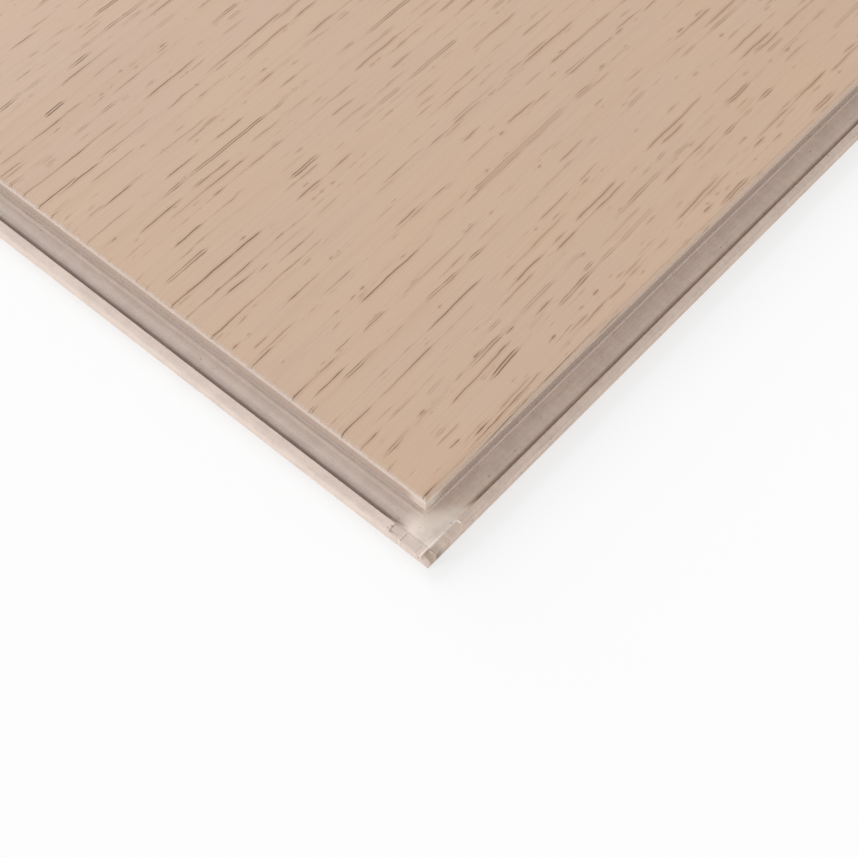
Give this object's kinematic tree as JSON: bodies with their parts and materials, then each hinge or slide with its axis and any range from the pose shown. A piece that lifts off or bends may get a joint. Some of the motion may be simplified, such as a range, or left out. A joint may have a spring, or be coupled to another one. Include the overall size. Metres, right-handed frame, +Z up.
{
  "type": "click vinyl floor plank",
  "caption": "Long flat stone-plastic floor plank with an oak-look face, bevelled edges, grooved lips on one side and end, and tongues on the others.",
  "frame": {"origin": "middle of the underside, below the middle of the visible face between its four joint lines", "axes": "+X along the length and the grain, towards the tongue end; +Y across the plank, towards the tongue side; +Z up through the face"},
  "size_m": [1.2279, 0.1906, 0.005],
  "materials": {
    "core": "milled stone-plastic core, matte, pale grey-beige",
    "face": "printed light oak under a matte clear wear layer, embossed pores"
  },
  "bodies": {
    "root": {"core_board": "core", "face_layer": "face"}
  },
  "joints": []
}
